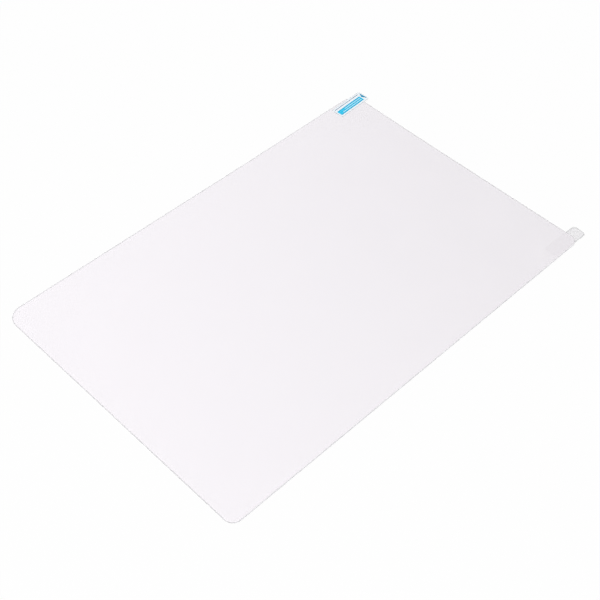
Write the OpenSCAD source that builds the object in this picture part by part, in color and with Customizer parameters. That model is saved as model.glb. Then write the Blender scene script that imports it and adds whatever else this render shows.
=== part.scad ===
// Clear screen protector for a laptop, lying flat as it comes out of its sleeve.
// Three clear layers lie on each other: release liner, protector and mask. A printed pull tab
// on the mask and a clear pull tab under the liner stand out past one short edge.
// The origin is the centre of the film's underside, X runs along the film, Z is up.

/* [Film] */
// Length of the film
film_length = 300; // [200:1:400]
// Width of the film
film_width = 199; // [130:1:270]
// Radius of the two corners at the film's upper long edge
upper_corner_radius = 10.5; // [3:0.5:20]
// Radius of the two corners at the film's lower long edge
lower_corner_radius = 6.5; // [3:0.5:20]

/* [Layers] */
// Thickness of the release liner, the lowest layer
liner_thickness = 0.075; // [0.05:0.005:0.15]
// Thickness of the protector with its adhesive, the middle layer
protector_thickness = 0.15; // [0.1:0.01:0.4]
// Thickness of the mask, the top layer
mask_thickness = 0.05; // [0.04:0.005:0.1]

/* [Clear pull tab] */
// Length of the clear pull tab
tab_length = 30.5; // [24:0.5:40]
// Width of the clear pull tab
tab_width = 9.9; // [8:0.1:14]
// Thickness of the clear pull tab
tab_thickness = 0.08; // [0.05:0.01:0.15]
// Radius of the clear pull tab's corners
tab_corner_radius = 2.8; // [0.5:0.1:3.9]
// How far the clear pull tab stands out past the film's short edge
tab_overhang = 8.4; // [4:0.1:12]
// Distance from the film's lower long edge to the middle of the clear pull tab
tab_edge_distance = 5.9; // [5.6:0.05:12]
// Turn of the clear pull tab, seen from above
tab_turn = -2; // [-4:0.5:4]

/* [Climb over the clear pull tab] */
// Length over which the layers climb onto the clear pull tab
climb_length = 6; // [2:0.5:12]
// Distance from the top of the climb to the nearest corner of the clear pull tab
climb_margin = 1; // [0.5:0.5:4]
// Direction in which the layers climb, turned from the film's length towards its corner
climb_direction = 45; // [30:1:60]

/* [Printed pull tab] */
// Length of the printed pull tab
label_length = 28.6; // [24:0.2:40]
// Width of the printed pull tab
label_width = 10; // [9.2:0.1:14]
// Thickness of the printed pull tab
label_thickness = 0.08; // [0.05:0.01:0.15]
// Radius of the printed pull tab's corners
label_corner_radius = 1.2; // [0.3:0.1:2]
// How far the printed pull tab stands out past the film's short edge
label_overhang = 4.85; // [3:0.05:10]
// Distance from the film's upper long edge to the middle of the printed pull tab
label_edge_distance = 6.4; // [5.5:0.05:12]
// Turn of the printed pull tab, seen from above
label_turn = 2.8; // [-4:0.1:4]

/* [Print on the pull tab] */
// Thickness of the ink
ink_thickness = 0.02; // [0.01:0.005:0.03]
// Blank strip at the label's outer end
outer_blank = 0.65; // [0.2:0.05:2]
// Depth of the arrow, from its tip to its base
arrow_depth = 2.2; // [1:0.1:4]
// Height of the arrow's base
arrow_height = 7.2; // [3:0.1:7.2]
// Blank gap between the arrow's tip and the blue band
arrow_gap = 0.7; // [0.4:0.05:3]
// Blank strip between the label's inner end and the blue band
band_inner_blank = 1.25; // [0.4:0.05:4]
// Blank strip between the label's lower side and the blue band
band_side_blank = 1.55; // [0.4:0.05:2.2]
// Height of the blue band
band_height = 4.7; // [3.2:0.1:5]
// Distance between the two lines of pale bars in the band
band_line_pitch = 1.65; // [1:0.05:2]
// Height of the pale bars in the band
band_bar_height = 0.45; // [0.3:0.05:0.9]
// Solid blue at the start of the band's upper line
upper_line_start = 6.9; // [2:0.1:12]
// Solid blue at the start of the band's lower line
lower_line_start = 3.3; // [2:0.1:12]
// Solid blue at the end of both lines
line_end = 1.2; // [0.3:0.1:2]
// Blank strip between the label's inner end and the row of dark bars
row_inner_blank = 1.25; // [0.4:0.05:4]
// Blank strip between the label's upper side and the row of dark bars and the arrow
upper_side_blank = 1.5; // [0.5:0.05:1.9]
// Height of the dark bars
row_bar_height = 0.45; // [0.3:0.05:0.8]
// Gap between neighbouring bars, dark or pale
bar_gap = 0.3; // [0.3:0.05:0.8]

/* [Hidden] */

// Facets that a previewer draws round the corners
round_facets = 64;

// Underside of each layer, and the top of the stack that carries the printed pull tab
protector_z = liner_thickness;
mask_z = protector_z + protector_thickness;
stack_top = mask_z + mask_thickness;

// Middle of each pull tab
tab_x = film_length / 2 + tab_overhang - tab_length / 2;
tab_y = tab_edge_distance - film_width / 2;
label_x = film_length / 2 + label_overhang - label_length / 2;
label_y = film_width / 2 - label_edge_distance;

// The climb ends where the clear pull tab's inner corner, the one away from the film's edge,
// comes first in the climb's direction
tab_inner_x = tab_x - tab_length / 2 * cos(tab_turn) - tab_width / 2 * sin(tab_turn);
tab_inner_y = tab_y - tab_length / 2 * sin(tab_turn) + tab_width / 2 * cos(tab_turn);
climb_end = tab_inner_x * cos(climb_direction) - tab_inner_y * sin(climb_direction) - climb_margin;
climb_start = climb_end - climb_length;
film_reach = film_length + film_width;

// Places in the label's own frame, with its middle as the origin
arrow_base_x = label_length / 2 - outer_blank;
arrow_tip_x = arrow_base_x - arrow_depth;
arrow_top_y = label_width / 2 - upper_side_blank;
band_x = band_inner_blank - label_length / 2;
band_y = band_side_blank - label_width / 2;
band_length = arrow_tip_x - arrow_gap - band_x;
row_x = row_inner_blank - label_length / 2;
row_y = label_width / 2 - upper_side_blank - row_bar_height;
row_length = arrow_tip_x - row_x;

// Lengths of the bars in each line, as shares of the line
upper_bars = [4, 5, 4, 3, 5, 4];
lower_bars = [5, 4, 6, 5, 3, 5, 4];
row_bars = [8, 9, 4, 3, 4, 4, 10];

// Sum of the first n shares of a line
function shares(bars, n) = n == 0 ? 0 : bars[n - 1] + shares(bars, n - 1);

// Rectangle with round corners, centred on the origin
module rounded_outline(length, width, upper_radius, lower_radius) {
    translate([-length / 2, lower_radius - width / 2])
        square([length, width - lower_radius - upper_radius]);
    translate([upper_radius - length / 2, 0])
        square([length - 2 * upper_radius, width / 2]);
    translate([lower_radius - length / 2, -width / 2])
        square([length - 2 * lower_radius, width / 2]);
    for (side = [-1, 1]) {
        translate([side * (length / 2 - upper_radius), width / 2 - upper_radius])
            circle(r = upper_radius, $fn = round_facets);
        translate([side * (length / 2 - lower_radius), lower_radius - width / 2])
            circle(r = lower_radius, $fn = round_facets);
    }
}

// One layer of the film: flat on the layer below, then up over the clear pull tab
module film_layer(bottom, thickness) {
    profile = [
        [-film_reach, bottom],
        [climb_start, bottom],
        [climb_end, bottom + tab_thickness],
        [film_reach, bottom + tab_thickness],
        [film_reach, bottom + tab_thickness + thickness],
        [climb_end, bottom + tab_thickness + thickness],
        [climb_start, bottom + thickness],
        [-film_reach, bottom + thickness]
    ];
    intersection() {
        rotate([0, 0, -climb_direction])
            rotate([90, 0, 0])
                linear_extrude(2 * film_reach, center = true)
                    polygon(profile);
        translate([0, 0, bottom - tab_thickness])
            linear_extrude(thickness + 3 * tab_thickness)
                rounded_outline(film_length, film_width, upper_corner_radius, lower_corner_radius);
    }
}

// Line of plain bars that fills the given length
module bar_line(bars, length, height) {
    count = len(bars);
    unit = (length - bar_gap * (count - 1)) / shares(bars, count);
    for (i = [0 : count - 1])
        translate([unit * shares(bars, i) + bar_gap * i, 0])
            square([unit * bars[i], height]);
}

// Puts ink on the printed pull tab
module on_label() {
    translate([label_x, label_y, stack_top + label_thickness])
        rotate([0, 0, label_turn])
            linear_extrude(ink_thickness)
                children();
}

module back_liner() {
    color("lightgrey", 0.4) film_layer(0, liner_thickness);
}

module screen_film() {
    color("lavender", 0.4) film_layer(protector_z, protector_thickness);
}

module front_mask() {
    color("ghostwhite", 0.4) film_layer(mask_z, mask_thickness);
}

module clear_pull_tab() {
    color("gainsboro", 0.6)
        translate([tab_x, tab_y, 0])
            rotate([0, 0, tab_turn])
                linear_extrude(tab_thickness)
                    rounded_outline(tab_length, tab_width, tab_corner_radius, tab_corner_radius);
}

module printed_pull_tab() {
    color("white")
        translate([label_x, label_y, stack_top])
            rotate([0, 0, label_turn])
                linear_extrude(label_thickness)
                    rounded_outline(label_length, label_width, label_corner_radius, label_corner_radius);
}

// Blue field with two lines of bars left open, so that the white label shows through
module label_band() {
    line_y = band_y + band_height / 2 - band_bar_height / 2;
    color("deepskyblue") on_label() difference() {
        translate([band_x, band_y]) square([band_length, band_height]);
        translate([band_x + upper_line_start, line_y + band_line_pitch / 2])
            bar_line(upper_bars, band_length - upper_line_start - line_end, band_bar_height);
        translate([band_x + lower_line_start, line_y - band_line_pitch / 2])
            bar_line(lower_bars, band_length - lower_line_start - line_end, band_bar_height);
    }
}

// Triangle at the label's outer end that points back at the film
module label_arrow() {
    color("steelblue") on_label()
        polygon([
            [arrow_tip_x, arrow_top_y - arrow_height / 2],
            [arrow_base_x, arrow_top_y - arrow_height],
            [arrow_base_x, arrow_top_y]
        ]);
}

// Row of dark bars in place of the small line of words
module label_row() {
    color("slategrey") on_label()
        translate([row_x, row_y]) bar_line(row_bars, row_length, row_bar_height);
}

back_liner();
screen_film();
front_mask();
clear_pull_tab();
printed_pull_tab();
label_band();
label_arrow();
label_row();
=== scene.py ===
import math

import bmesh
import bpy
from mathutils import Matrix, Vector


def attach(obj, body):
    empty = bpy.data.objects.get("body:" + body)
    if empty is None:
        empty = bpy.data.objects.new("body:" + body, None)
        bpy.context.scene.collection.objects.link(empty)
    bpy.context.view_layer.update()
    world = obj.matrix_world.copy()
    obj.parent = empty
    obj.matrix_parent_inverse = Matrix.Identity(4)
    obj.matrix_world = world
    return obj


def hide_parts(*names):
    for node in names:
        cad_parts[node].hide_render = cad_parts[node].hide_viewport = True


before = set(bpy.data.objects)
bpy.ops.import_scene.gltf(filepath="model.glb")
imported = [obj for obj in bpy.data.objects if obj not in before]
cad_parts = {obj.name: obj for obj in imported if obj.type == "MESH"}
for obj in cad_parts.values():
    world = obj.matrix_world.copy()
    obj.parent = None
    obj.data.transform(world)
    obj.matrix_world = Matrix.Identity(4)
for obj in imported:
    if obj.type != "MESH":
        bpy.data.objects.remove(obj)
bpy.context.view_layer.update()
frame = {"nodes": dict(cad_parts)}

print("frame loaded:", ", ".join(frame["nodes"]))

# Sizes in the dictionaries are in millimetres and turns in degrees, unless a note says otherwise
mm = 0.001
airGap = 0.003        # keeps faces of neighbouring pieces apart
mergeDistance = 0.0005
smoothAngle = 25      # edges that bend by less are shaded smooth


class Wire:
    # One output socket. Sums written with it add Math nodes.
    def __init__(self, tree, socket):
        self.tree = tree
        self.socket = socket

    def maths(self, operation, first, second=0):
        made = self.tree.nodes.new("ShaderNodeMath")
        made.operation = operation
        plug(self.tree, made.inputs[0], first)
        plug(self.tree, made.inputs[1], second)
        return Wire(self.tree, made.outputs[0])

    def __add__(self, other):
        return self.maths("ADD", self, other)

    def __radd__(self, other):
        return self.maths("ADD", other, self)

    def __sub__(self, other):
        return self.maths("SUBTRACT", self, other)

    def __rsub__(self, other):
        return self.maths("SUBTRACT", other, self)

    def __mul__(self, other):
        return self.maths("MULTIPLY", self, other)

    def __rmul__(self, other):
        return self.maths("MULTIPLY", other, self)

    def __abs__(self):
        return self.maths("ABSOLUTE", self)

    def atLeast(self, lowest):
        return self.maths("MAXIMUM", self, lowest)


def plug(tree, target, value):
    if isinstance(value, Wire):
        tree.links.new(value.socket, target)
    else:
        target.default_value = value


class Finish:
    # The node tree of one material, or of the world
    def __init__(self, owner):
        self.owner = owner
        owner.use_nodes = True
        self.tree = owner.node_tree
        self.tree.nodes.clear()

    def add(self, kind, settings=None, inputs=None, out=0):
        made = self.tree.nodes.new(kind)
        for key, value in (settings or {}).items():
            setattr(made, key, value)
        for key, value in (inputs or {}).items():
            plug(self.tree, made.inputs[key], value)
        return Wire(self.tree, made.outputs[out])

    def place(self, turn=0, stretch=(1, 1, 1)):
        spot = self.add("ShaderNodeTexCoord", out="Object")
        return self.add("ShaderNodeMapping", inputs={
            "Vector": spot, "Rotation": (0, 0, math.radians(turn)), "Scale": stretch})

    def noise(self, where, scale, detail=2, rough=0.5):
        return self.add("ShaderNodeTexNoise", inputs={
            "Vector": where, "Scale": scale, "Detail": detail, "Roughness": rough}, out="Fac")

    def spread(self, value, low, high, toLow=0, toHigh=1):
        # Eases from toLow to toHigh while the value goes from low to high
        return self.add("ShaderNodeMapRange", {"interpolation_type": "SMOOTHSTEP"}, {
            "Value": value, "From Min": low, "From Max": high, "To Min": toLow, "To Max": toHigh})

    def millimetres(self, where):
        made = self.tree.nodes.new("ShaderNodeSeparateXYZ")
        plug(self.tree, made.inputs[0], where)
        return [Wire(self.tree, made.outputs[axis]) * (1 / mm) for axis in (0, 1)]

    def clamped(self, value):
        return self.add("ShaderNodeClamp", inputs={"Value": value})

    def blendColour(self, share, first, second):
        # Sockets 6 and 7 are the Mix node's two colours, and output 2 is the mixed one
        return self.add("ShaderNodeMix", {"data_type": "RGBA"},
                        {0: share, 6: first, 7: second}, out=2)

    def blendShaders(self, share, first, second):
        return self.add("ShaderNodeMixShader", inputs={0: share, 1: first, 2: second})

    def surface(self, shader, output="ShaderNodeOutputMaterial"):
        plug(self.tree, self.tree.nodes.new(output).inputs["Surface"], shader)
        return self.owner


def newFinish(name):
    return Finish(bpy.data.materials.new(name))


def deselectAll():
    if bpy.context.object and bpy.context.object.mode == "EDIT":
        bpy.ops.object.mode_set(mode="OBJECT")
    bpy.ops.object.select_all(action="DESELECT")


def selectVertices(piece, test):
    # Selects in edit mode, by place
    bpy.ops.mesh.select_mode(type="VERT")
    mesh = bmesh.from_edit_mesh(piece.data)
    for vert in mesh.verts:
        vert.select = test(vert.co)
    mesh.select_flush_mode()
    bmesh.update_edit_mesh(piece.data)


def selectFaces(piece, test):
    bpy.ops.mesh.select_mode(type="FACE")
    mesh = bmesh.from_edit_mesh(piece.data)
    for face in mesh.faces:
        face.select_set(test(face))
    mesh.select_flush_mode()
    bmesh.update_edit_mesh(piece.data)


def plate(name, length, width, middle=(0, 0)):
    # Flat rectangle to start from, left in edit mode
    deselectAll()
    bpy.ops.mesh.primitive_plane_add(size=1, location=(0, 0, 0))
    piece = bpy.context.object
    piece.name = name
    piece.data.name = name
    bpy.ops.object.mode_set(mode="EDIT")
    bpy.ops.mesh.select_all(action="SELECT")
    bpy.ops.transform.resize(value=(length * mm, width * mm, 1))
    bpy.ops.transform.translate(value=(middle[0] * mm, middle[1] * mm, 0))
    return piece


def roundCorners(piece, test, radius, steps):
    selectVertices(piece, test)
    bpy.ops.mesh.bevel(offset=radius * mm, offset_type="OFFSET", segments=steps, profile=0.5,
                       affect="VERTICES", clamp_overlap=True)


def paintSelected(piece, material):
    # Gives the selected faces the piece's first material, 0, or its second one, 1
    piece.active_material_index = material
    bpy.ops.object.material_slot_assign()


def rimRing(piece, width):
    # A narrow ring along the outline, in the piece's second material
    bpy.ops.mesh.select_mode(type="FACE")
    bpy.ops.mesh.select_all(action="SELECT")
    bpy.ops.mesh.inset(thickness=width * mm, depth=0, use_even_offset=True, use_boundary=True)
    bpy.ops.mesh.select_all(action="INVERT")
    paintSelected(piece, 1)


def cutAcross(place, direction):
    bpy.ops.mesh.select_mode(type="VERT")
    bpy.ops.mesh.select_all(action="SELECT")
    bpy.ops.mesh.bisect(plane_co=(place[0] * mm, place[1] * mm, 0), plane_no=direction)


def giveThickness(piece, thickness):
    bpy.ops.mesh.select_mode(type="FACE")
    bpy.ops.mesh.select_all(action="SELECT")
    bpy.ops.mesh.extrude_region_move(TRANSFORM_OT_translate={"value": (0, 0, thickness * mm)})
    bpy.ops.mesh.select_all(action="SELECT")
    bpy.ops.mesh.remove_doubles(threshold=mergeDistance * mm)
    bpy.ops.mesh.normals_make_consistent(inside=False)


def paintWalls(piece, material):
    # A wall's face looks sideways, and all others look up or down
    selectFaces(piece, lambda face: abs(face.normal.z) < 0.5)
    paintSelected(piece, material)


def lift(piece, height):
    # Moves each point up by what height(x, y) gives in millimetres
    bpy.ops.object.mode_set(mode="OBJECT")
    for vert in piece.data.vertices:
        vert.co.z += height(vert.co.x / mm, vert.co.y / mm) * mm


def eased(share):
    share = min(1, max(0, share))
    return share * share * (3 - 2 * share)


# Film's outline, and the corner that stands up off the table with all that lies on it

film = {
    "length": 300, "width": 199,
    "upperCorner": 10.5, "lowerCorner": 6.5, "cornerSteps": 14,
    "rim": 0.55,  # painted shade: width of the greyer line along the cut edge
}
raisedCorner = {
    "height": 0.8, "reachX": 130, "reachY": 75,
    "stepX": 6, "stepY": 4,  # distances between the cuts that let the sheets bend
}
filmEnd = film["length"] / 2
filmSide = film["width"] / 2


def cornerLift(x, y):
    awayX = (filmEnd - x) / raisedCorner["reachX"]
    awayY = (filmSide - y) / raisedCorner["reachY"]
    return raisedCorner["height"] * eased(1 - math.hypot(max(0, awayX), max(0, awayY)))


def settle(piece, where, turn, node):
    # Puts the finished piece in its place, with the place in its mesh
    deselectAll()
    piece.select_set(True)
    bpy.context.view_layer.objects.active = piece
    piece.location = [value * mm for value in where]
    piece.rotation_euler = (0, 0, math.radians(turn))
    bpy.ops.object.transform_apply(location=True, rotation=True, scale=True)
    lift(piece, cornerLift)
    bpy.ops.object.shade_smooth_by_angle(angle=math.radians(smoothAngle))
    deselectAll()
    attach(piece, "root")
    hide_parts(node)


# Clear pull tab, under the film at its lower corner

clearTab = {
    "length": 30.5, "width": 9.9, "thickness": 0.08, "corner": 2.8, "cornerSteps": 10,
    "overhang": 8.4, "edgeDistance": 5.9, "turn": -2, "rim": 0.65,
    "tape": {
        "tint": (0.996, 0.994, 0.996, 1), "ior": 1.2, "haze": 0.005, "bareHaze": 0.4,
        "scratch": 0.02, "dust": 0.05, "scratchTurn": 70, "relief": 0.3, "metal": 0.2,
        "roughness": 0.3, "shade": (0.84, 0.83, 0.85, 1), "light": (0.94, 0.93, 0.95, 1)},
    # Painted shade along the tab's outline and walls, taken away where the film covers the tab
    "edgeShade": {
        "cover": 0.55, "tint": (0.992, 0.991, 0.992, 1), "shadeNoise": 600, "fadeUnderFilm": 0.98,
        "shade": (0.56, 0.56, 0.57, 1), "light": (0.68, 0.68, 0.69, 1)},
}
tabX = filmEnd + clearTab["overhang"] - clearTab["length"] / 2
tabY = clearTab["edgeDistance"] - filmSide

# Sizes of the patterns in clear plastic are noise scales: the larger, the finer
plasticPattern = {
    "clouds": 26, "grain": 5200, "scratches": 2600, "scratchStretch": 0.02, "dust": 1500,
    "waves": 9, "waveShare": 3, "dimples": 900, "dimpleShare": 0.02,
    "depth": 0.0002,  # metres
}
# Noise sizes for the painted edge shade
edgePattern = {"patches": 300, "sheen": 800}

# How softly the film's cover of the tab ends
tabCover = {
    "roundSoftness": 2,             # at the film's round corner, in square millimetres
    "hideFrom": 3, "hideWhole": 1,  # distances from the film's end
    "sideSoftness": 0.4,            # along the tab's inner side
}


def bareTab(use, where):
    # 0 where the film covers the clear tab, 1 where the tab is bare, past the round corner too
    x, y = use.millimetres(where)
    pastX = (x - (filmEnd - film["lowerCorner"])).atLeast(0)
    pastY = (film["lowerCorner"] - filmSide - y).atLeast(0)
    reach = film["lowerCorner"] * film["lowerCorner"]
    return use.spread(pastX * pastX + pastY * pastY,
                      reach - tabCover["roundSoftness"], reach + tabCover["roundSoftness"])


def filmEdgeOnTab(use, where):
    # 1 at the film's short edge where the clear tab lies under it and hides the edge. The painted
    # edge shade fades out there
    x, y = use.millimetres(where)
    tabSide = tabY + clearTab["width"] / 2
    return (use.spread(x, filmEnd - tabCover["hideFrom"], filmEnd - tabCover["hideWhole"])
            * use.spread(tabSide - y, -tabCover["sideSoftness"], tabCover["sideSoftness"]))


def clearPlastic(name, look):
    # Clear film: what is behind shows through its tint, and its outer face mirrors by its gloss
    size = plasticPattern
    use = newFinish(name)
    flat = use.place()
    brushed = use.place(look["scratchTurn"], (1, size["scratchStretch"], 1))
    clouds = use.spread(use.noise(flat, size["clouds"], 4, 0.55), 0.3, 0.7, 0.55, 1.25)
    grain = use.spread(use.noise(flat, size["grain"]), 0.35, 0.65, 0.8, 1.2)
    scratches = use.spread(use.noise(brushed, size["scratches"], 1), 0.7, 0.78)
    dust = use.spread(use.noise(flat, size["dust"], 0), 0.83, 0.86)
    waves = use.noise(flat, size["waves"], 1)
    dimples = use.noise(flat, size["dimples"])
    relief = use.add("ShaderNodeBump", inputs={
        "Strength": look["relief"], "Distance": size["depth"],
        "Height": waves * size["waveShare"] + dimples * size["dimpleShare"]})
    outside = 1 - use.add("ShaderNodeNewGeometry", out="Backfacing")
    mirror = use.add("ShaderNodeFresnel", inputs={"IOR": look["ior"], "Normal": relief}) * outside
    haze = clouds * grain * look["haze"] + scratches * look["scratch"] + dust * look["dust"]
    if "bareHaze" in look:
        haze = haze + bareTab(use, flat) * look["bareHaze"]
    skin = use.add("ShaderNodeBsdfPrincipled", inputs={
        "Base Color": use.blendColour(clouds * 0.5, look["shade"], look["light"]),
        "Metallic": look["metal"],
        "Roughness": clouds * look["roughness"],
        "Normal": relief})
    through = use.add("ShaderNodeBsdfTransparent", inputs={"Color": look["tint"]})
    return use.surface(use.blendShaders(use.clamped(mirror + haze), through, skin))


def paintedEdgeShade(name, look):
    # Painted shade along the die-cut edge of a clear sheet: a partly see-through ring that looks
    # greyer than the sheet
    use = newFinish(name)
    flat = use.place()
    # Noise makes the painted edge shade uneven along the edge
    shadeNoise = use.spread(use.noise(flat, look["shadeNoise"], 3), 0.3, 0.7, 0.85, 1.1)
    patches = use.spread(use.noise(flat, edgePattern["patches"]), 0.35, 0.65)
    sheen = use.spread(use.noise(flat, edgePattern["sheen"]), 0.3, 0.7, 0.25, 0.45)
    skin = use.add("ShaderNodeBsdfPrincipled", inputs={
        "Base Color": use.blendColour(patches, look["shade"], look["light"]),
        "Roughness": sheen})
    through = use.add("ShaderNodeBsdfTransparent", inputs={"Color": look["tint"]})
    cover = shadeNoise * look["cover"]
    if "fadeOnTab" in look:
        cover = cover * (1 - filmEdgeOnTab(use, flat) * look["fadeOnTab"])
    if "fadeUnderFilm" in look:
        cover = cover * (1 - (1 - bareTab(use, flat)) * look["fadeUnderFilm"])
    return use.surface(use.blendShaders(use.clamped(cover), through, skin))


def makeClearTab():
    piece = plate("clearTab", clearTab["length"], clearTab["width"])
    piece.data.materials.append(clearPlastic("clearTabTape", clearTab["tape"]))
    # Second material: painted edge shade on the outline ring and on the walls
    piece.data.materials.append(paintedEdgeShade("clearTabPaintedEdgeShade", clearTab["edgeShade"]))
    roundCorners(piece, lambda co: True, clearTab["corner"], clearTab["cornerSteps"])
    rimRing(piece, clearTab["rim"])
    giveThickness(piece, clearTab["thickness"] - airGap)
    paintWalls(piece, 1)
    settle(piece, (tabX, tabY, 0), clearTab["turn"], "clear_pull_tab")
    return piece


# Film: three sheets cut to one outline, which rise together over the clear tab

foldOver = {
    "direction": 45, "length": 6, "margin": 1, "steps": 8,
}
# Painted edge shade on the three sheets' rims, faded where the clear tab lies under the film's
# edge
sheetEdgeShade = {
    "cover": 0.165, "tint": (0.994, 0.99, 0.995, 1), "fadeOnTab": 0.95,
    "shade": (0.68, 0.68, 0.69, 1), "light": (0.8, 0.8, 0.81, 1),
}
sheets = {
    "releaseLiner": {
        "node": "back_liner", "slot": "release_liner", "bottom": 0, "thickness": 0.075,
        "tint": (0.997, 0.992, 0.9975, 1), "ior": 1.3, "haze": 0.006, "scratch": 0.02,
        "dust": 0.1, "scratchTurn": 35, "relief": 0.2, "metal": 1.0, "roughness": 0.12,
        "shade": (0.86, 0.84, 0.87, 1), "light": (0.96, 0.94, 0.97, 1), "shadeNoise": 500},
    "protectorFilm": {
        "node": "screen_film", "slot": "protector_film", "bottom": 0.075, "thickness": 0.15,
        "tint": (0.997, 0.9915, 0.9975, 1), "ior": 1.3, "haze": 0.006, "scratch": 0.02,
        "dust": 0.05, "scratchTurn": -20, "relief": 0.2, "metal": 1.0, "roughness": 0.1,
        "shade": (0.86, 0.83, 0.88, 1), "light": (0.96, 0.93, 0.98, 1), "shadeNoise": 350},
    "maskFilm": {
        "node": "front_mask", "slot": "mask_film", "bottom": 0.225, "thickness": 0.05,
        "tint": (0.997, 0.992, 0.9975, 1), "ior": 1.5, "haze": 0.01, "scratch": 0.04,
        "dust": 0.15, "scratchTurn": 12, "relief": 0.3, "metal": 1.0, "roughness": 0.14,
        "shade": (0.86, 0.85, 0.87, 1), "light": (0.96, 0.95, 0.97, 1), "shadeNoise": 700},
}

# The fold ends just before the tab's inner corner, the one away from the film's edge
tabTurn = math.radians(clearTab["turn"])
innerX = (tabX - clearTab["length"] / 2 * math.cos(tabTurn)
          - clearTab["width"] / 2 * math.sin(tabTurn))
innerY = (tabY - clearTab["length"] / 2 * math.sin(tabTurn)
          + clearTab["width"] / 2 * math.cos(tabTurn))
foldX = math.cos(math.radians(foldOver["direction"]))
foldY = -math.sin(math.radians(foldOver["direction"]))
foldEnd = innerX * foldX + innerY * foldY - foldOver["margin"]
foldStart = foldEnd - foldOver["length"]


def overTab(x, y):
    share = (x * foldX + y * foldY - foldStart) / foldOver["length"]
    return clearTab["thickness"] * eased(share)


def isLowerCorner(co):
    # The upper corners are round by now, so the lower side's two ends are picked by their place
    nearby = 0.01
    return (abs(co.x) > (filmEnd - nearby) * mm) and co.y < (nearby - filmSide) * mm


def makeSheet(name, sheet):
    piece = plate(name, film["length"], film["width"])
    piece.data.materials.append(clearPlastic(name + "Clear", sheet))
    # The second material is painted edge shade, for the ring along the outline
    piece.data.materials.append(paintedEdgeShade(name + "PaintedEdgeShade", {**sheetEdgeShade, "shadeNoise": sheet["shadeNoise"]}))
    roundCorners(piece, lambda co: co.y > 0, film["upperCorner"], film["cornerSteps"])
    roundCorners(piece, isLowerCorner, film["lowerCorner"], film["cornerSteps"])
    rimRing(piece, film["rim"])
    for step in range(foldOver["steps"] + 1):
        along = foldStart + foldOver["length"] * step / foldOver["steps"]
        cutAcross((foldX * along, foldY * along), (foldX, foldY, 0))
    for step in range(1, raisedCorner["reachX"] // raisedCorner["stepX"]):
        cutAcross((filmEnd - step * raisedCorner["stepX"], 0), (1, 0, 0))
    for step in range(1, raisedCorner["reachY"] // raisedCorner["stepY"]):
        cutAcross((0, filmSide - step * raisedCorner["stepY"]), (0, 1, 0))
    giveThickness(piece, sheet["thickness"] - airGap)
    paintWalls(piece, 0)
    lift(piece, overTab)
    settle(piece, (0, 0, sheet["bottom"]), 0, sheet["node"])
    return piece


for name, sheet in sheets.items():
    made = makeSheet(name, sheet)
    print("sheet", name, len(made.data.polygons), "faces")

print("clear tab", len(makeClearTab().data.polygons), "faces")


# Printed pull tab, whose free end droops a little with its print on it

label = {
    "length": 28.6, "width": 10, "thickness": 0.08, "corner": 1.2, "cornerSteps": 8,
    "overhang": 4.85, "edgeDistance": 6.4, "turn": 2.8, "bottom": 0.275, "rim": 0.45,
    "droop": 0.2, "droopCuts": 8, "bendStep": 3, "bendCuts": 8,
    "paper": {
        "shade": (0.78, 0.835, 0.875, 1), "light": (0.84, 0.89, 0.92, 1), "roughness": 0.38},
    # Painted shadow along the label's outline and walls: the paper in greyer colours
    "edgeShade": {
        "shade": (0.59, 0.63, 0.67, 1), "light": (0.68, 0.72, 0.76, 1), "roughness": 0.5},
}
labelX = filmEnd + label["overhang"] - label["length"] / 2
labelY = filmSide - label["edgeDistance"]
droopStart = label["length"] / 2 - label["overhang"]

paperPattern = {
    "fibres": 3600, "fibreStretch": 0.3, "clouds": 240,
    "relief": 0.25, "depth": 0.00002,  # depth in metres
    "unevenGloss": 0.06, "coatRoughness": 0.25,
}


def labelPaper(name, look):
    # White label stock with a satin coat over a faint fibre
    size = paperPattern
    use = newFinish(name)
    along = use.place(label["turn"], (1, size["fibreStretch"], 1))
    fibres = use.noise(along, size["fibres"], 3, 0.6)
    clouds = use.noise(use.place(), size["clouds"], 3)
    mottle = use.spread(clouds * 0.6 + fibres * 0.4, 0.35, 0.65)
    skin = use.add("ShaderNodeBsdfPrincipled", inputs={
        "Base Color": use.blendColour(mottle, look["shade"], look["light"]),
        "Roughness": use.spread(fibres, 0.3, 0.7, look["roughness"] - size["unevenGloss"],
                                look["roughness"] + size["unevenGloss"]),
        "Coat Weight": use.spread(clouds, 0.3, 0.7, 0.1, 0.25),
        "Coat Roughness": size["coatRoughness"],
        "Normal": use.add("ShaderNodeBump", inputs={
            "Strength": size["relief"], "Distance": size["depth"],
            "Height": fibres + clouds * 0.5})})
    return use.surface(skin)


def labelDroop(x, y):
    share = max(0, (x - droopStart) / label["overhang"])
    return -label["droop"] * share * share


def bendCuts(low, high):
    # Cuts at the same places through the label and its print, so that both bend alike
    places = [droopStart - label["bendStep"] * (step + 1) for step in range(label["bendCuts"])]
    places += [droopStart + label["overhang"] * step / label["droopCuts"]
               for step in range(label["droopCuts"])]
    for along in places:
        if low < along < high:
            cutAcross((along, 0), (1, 0, 0))


def makeLabel():
    piece = plate("labelStock", label["length"], label["width"])
    piece.data.materials.append(labelPaper("labelPaper", label["paper"]))
    # Second material: the same paper in greyer colours, a painted edge shadow on the outline ring
    # and the walls
    piece.data.materials.append(labelPaper("labelPaintedEdgeShade", label["edgeShade"]))
    roundCorners(piece, lambda co: True, label["corner"], label["cornerSteps"])
    rimRing(piece, label["rim"])
    bendCuts(-label["length"], label["length"])
    giveThickness(piece, label["thickness"] - airGap)
    paintWalls(piece, 1)
    lift(piece, labelDroop)
    settle(piece, (labelX, labelY, label["bottom"] + airGap), label["turn"],
           "printed_pull_tab")
    return piece


print("label", len(makeLabel().data.polygons), "faces")


# Print on the label: a band with two lines of open bars, an arrow and a row of plain bars

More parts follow.
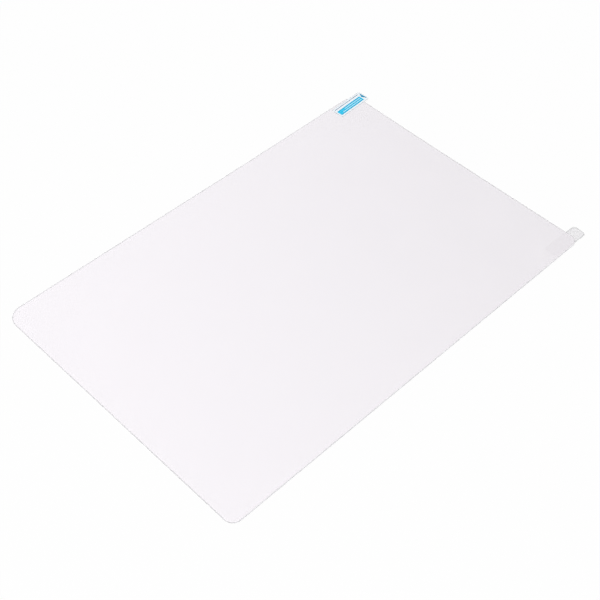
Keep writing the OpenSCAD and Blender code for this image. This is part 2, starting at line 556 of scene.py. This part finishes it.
ink = {
    "thickness": 0.02, "outerBlank": 0.65, "upperBlank": 1.5, "barGap": 0.3,
    "roughness": (0.3, 0.42), "specular": 0.3, "relief": 0.2, "depth": 0.00001,  # depth in metres
    "cloudScale": 700, "dotScale": 5200, "dotScatter": 0.15,
}
arrow = {
    "depth": 2.2, "height": 7.2, "gap": 0.7,
    "colour": (0.012, 0.24, 0.42, 1), "thin": (0.035, 0.32, 0.52, 1), "screenTurn": 45,
}
band = {
    "innerBlank": 1.25, "sideBlank": 1.55, "height": 4.7, "linePitch": 1.65, "bar": 0.45,
    "upperStart": 6.9, "lowerStart": 3.3, "lineEnd": 1.2,
    "upperBars": [4, 5, 4, 3, 5, 4], "lowerBars": [5, 4, 6, 5, 3, 5, 4],
    "colour": (0.026, 0.55, 0.83, 1), "thin": (0.036, 0.61, 0.88, 1), "screenTurn": 15,
    "thick": (0.012, 0.4, 0.64, 1), "thickFrom": 0.35, "thickWhole": 0.8,
}
row = {
    "innerBlank": 1.25, "bar": 0.45, "bars": [8, 9, 4, 3, 4, 4, 10],
    "colour": (0.02, 0.08, 0.2, 1), "thin": (0.06, 0.14, 0.29, 1), "screenTurn": 75,
}
arrowBase = label["length"] / 2 - ink["outerBlank"]
arrowTip = arrowBase - arrow["depth"]
arrowTop = label["width"] / 2 - ink["upperBlank"]
bandX = band["innerBlank"] - label["length"] / 2
bandY = band["sideBlank"] - label["width"] / 2
bandEnd = arrowTip - arrow["gap"]
rowX = row["innerBlank"] - label["length"] / 2
rowY = arrowTop - row["bar"]
inkZ = label["bottom"] + label["thickness"]


def besideLines(use):
    # Ink lies thicker along the band's sides and between its two lines of open bars
    turn = math.radians(label["turn"])
    middle = (labelY * math.cos(turn) - labelX * math.sin(turn)
              + bandY + band["height"] / 2)
    x, y = use.millimetres(use.place(-label["turn"]))
    away = abs(y - middle) - band["linePitch"] / 2
    return use.spread(abs(away), band["thickFrom"], band["thickWhole"])


def printedInk(name, look):
    # Printed ink: slightly uneven cover with a fine screen of tiny dots at its thin places
    use = newFinish(name)
    screen = use.place(label["turn"] + look["screenTurn"])
    cover = use.noise(use.place(), ink["cloudScale"], 3, 0.6)
    dots = use.add("ShaderNodeTexVoronoi", {"feature": "F1"}, {
        "Vector": screen, "Scale": ink["dotScale"], "Randomness": ink["dotScatter"]},
        out="Distance")
    tone = use.blendColour(use.spread(cover + dots * 0.35, 0.42, 0.95),
                           look["colour"], look["thin"])
    if "thick" in look:
        tone = use.blendColour(besideLines(use), tone, look["thick"])
    skin = use.add("ShaderNodeBsdfPrincipled", inputs={
        "Base Color": tone,
        "Roughness": use.spread(cover, 0.3, 0.7, *ink["roughness"]),
        "Specular IOR Level": ink["specular"],
        "Normal": use.add("ShaderNodeBump", inputs={
            "Strength": ink["relief"], "Distance": ink["depth"],
            "Height": cover + dots * 0.3})})
    return use.surface(skin)


def barPlaces(shares, start, end, low, height):
    # Boxes of the bars that fill a line, as (left, right, low, high)
    unit = (end - start - ink["barGap"] * (len(shares) - 1)) / sum(shares)
    places = []
    for share in shares:
        places.append((start, start + unit * share, low, low + height))
        start += unit * share + ink["barGap"]
    return places


def cutAtBars(places):
    for left, right, low, high in places:
        cutAcross((left, 0), (1, 0, 0))
        cutAcross((right, 0), (1, 0, 0))


def inPlaces(point, places):
    return any(left < point.x / mm < right and low < point.y / mm < high
               for left, right, low, high in places)


def finishInk(piece, look, node):
    piece.data.materials.append(printedInk(piece.name, look))
    giveThickness(piece, ink["thickness"])
    lift(piece, labelDroop)
    settle(piece, (labelX, labelY, inkZ), label["turn"], node)
    return piece


def makeBand():
    middle = ((bandX + bandEnd) / 2, bandY + band["height"] / 2)
    piece = plate("blueBand", bandEnd - bandX, band["height"], middle)
    lineLow = middle[1] - band["bar"] / 2
    half = band["linePitch"] / 2
    lineEnd = bandEnd - band["lineEnd"]
    upper = barPlaces(band["upperBars"], bandX + band["upperStart"], lineEnd,
                      lineLow + half, band["bar"])
    lower = barPlaces(band["lowerBars"], bandX + band["lowerStart"], lineEnd,
                      lineLow - half, band["bar"])
    for line in (upper, lower):
        for edge in line[0][2:]:
            cutAcross((0, edge), (0, 1, 0))
        cutAtBars(line)
    bendCuts(bandX, bandEnd)
    selectFaces(piece, lambda face: inPlaces(face.calc_center_median(), upper + lower))
    bpy.ops.mesh.delete(type="FACE")
    return finishInk(piece, band, "label_band")


def makeArrow():
    middle = ((arrowTip + arrowBase) / 2, arrowTop - arrow["height"] / 2)
    piece = plate("blueArrow", arrow["depth"], arrow["height"], middle)
    selectVertices(piece, lambda co: co.x / mm < middle[0])
    bpy.ops.mesh.merge(type="CENTER")
    bendCuts(arrowTip, arrowBase)
    return finishInk(piece, arrow, "label_arrow")


def makeRow():
    middle = ((rowX + arrowTip) / 2, rowY + row["bar"] / 2)
    piece = plate("greyRow", arrowTip - rowX, row["bar"], middle)
    bars = barPlaces(row["bars"], rowX, arrowTip, rowY, row["bar"])
    cutAtBars(bars)
    bendCuts(rowX, arrowTip)
    selectFaces(piece, lambda face: not inPlaces(face.calc_center_median(), bars))
    bpy.ops.mesh.delete(type="FACE")
    return finishInk(piece, row, "label_row")


for build in (makeBand, makeArrow, makeRow):
    made = build()
    print("print", made.name, len(made.data.polygons), "faces")


# Stage: a white table that keeps the shadow, and soft light that is stronger from one side

white = (1, 1, 1, 1)
table = {
    "size": 40,  # metres
    "drop": 0.01, "colour": (0.8, 0.8, 0.8, 1), "glow": 0.93,
}
sky = {
    "bright": 1.95, "dim": 0.1, "turn": 46.247, "height": 0.82,
    "middle": 0.615, "softness": 0.55,
}
lamp = {
    "place": (-0.9, -0.35, 0.9), "size": 0.8,  # metres
    "watts": 2,
}


def raysOf(use, kind):
    return use.add("ShaderNodeLightPath", out="Is " + kind + " Ray")


def makeTable():
    # Camera, mirror and glass rays see a plain white table, and other rays a matt one
    deselectAll()
    bpy.ops.mesh.primitive_plane_add(size=table["size"], location=(0, 0, -table["drop"] * mm))
    floor = bpy.context.object
    floor.name = "table"
    use = newFinish("whiteTable")
    seen = raysOf(use, "Camera") + raysOf(use, "Glossy") + raysOf(use, "Transmission")
    matt = use.add("ShaderNodeBsdfDiffuse", inputs={"Color": table["colour"]})
    glow = use.add("ShaderNodeEmission", inputs={"Color": white, "Strength": 1})
    share = use.clamped(seen * table["glow"])
    floor.data.materials.append(use.surface(use.blendShaders(share, matt, glow)))
    deselectAll()


def makeSky():
    # White where it is seen directly, and a soft light from one side for the object
    world = bpy.data.worlds.new("studio")
    bpy.context.scene.world = world
    use = Finish(world)
    turn = math.radians(sky["turn"])
    direction = use.add("ShaderNodeTexCoord", out="Generated")
    side = use.add("ShaderNodeVectorMath", {"operation": "DOT_PRODUCT"}, {
        0: direction, 1: (-math.cos(turn), math.sin(turn), sky["height"])}, out="Value")
    light = use.spread(side - sky["middle"], -sky["softness"], sky["softness"],
                       sky["dim"], sky["bright"])
    seen = use.clamped(raysOf(use, "Camera") + raysOf(use, "Transmission"))
    use.surface(use.add("ShaderNodeBackground", inputs={
        "Color": white, "Strength": seen + (1 - seen) * light}), "ShaderNodeOutputWorld")


def makeLamp():
    bpy.ops.object.light_add(type="AREA", location=lamp["place"])
    made = bpy.context.object
    made.name = "softLamp"
    made.data.shape = "DISK"
    made.data.size = lamp["size"]
    made.data.energy = lamp["watts"]
    made.rotation_euler = (-Vector(lamp["place"])).to_track_quat("-Z", "Y").to_euler()
    deselectAll()


makeTable()
makeSky()
makeLamp()
print("stage set")


# Camera at the photograph's place

view = {
    "place": (-0.355724, -0.339268, 0.539035),  # metres
    "azimuth": 46.247, "down": 48.751, "roll": 1.994, "lens": 71.08, "sensor": 36,
    "nearest": 0.01, "farthest": 100,           # metres
}


def makeCamera():
    azimuth, down, roll = (math.radians(view[key]) for key in ("azimuth", "down", "roll"))
    ahead = Vector((math.sin(azimuth) * math.cos(down),
                    math.cos(azimuth) * math.cos(down), -math.sin(down)))
    right = ahead.cross(Vector((0, 0, 1))).normalized()
    above = right.cross(ahead)
    sideways = right * math.cos(roll) + above * math.sin(roll)
    upwards = above * math.cos(roll) - right * math.sin(roll)
    turn = Matrix((sideways, upwards, -ahead)).transposed().to_4x4()
    bpy.ops.object.camera_add()
    camera = bpy.context.object
    camera.name = "photoView"
    camera.matrix_world = Matrix.Translation(view["place"]) @ turn
    camera.data.lens = view["lens"]
    camera.data.sensor_width = view["sensor"]
    camera.data.clip_start = view["nearest"]
    camera.data.clip_end = view["farthest"]
    bpy.context.scene.camera = camera


makeCamera()
bpy.context.scene.view_settings.view_transform = "Standard"
print("camera set")
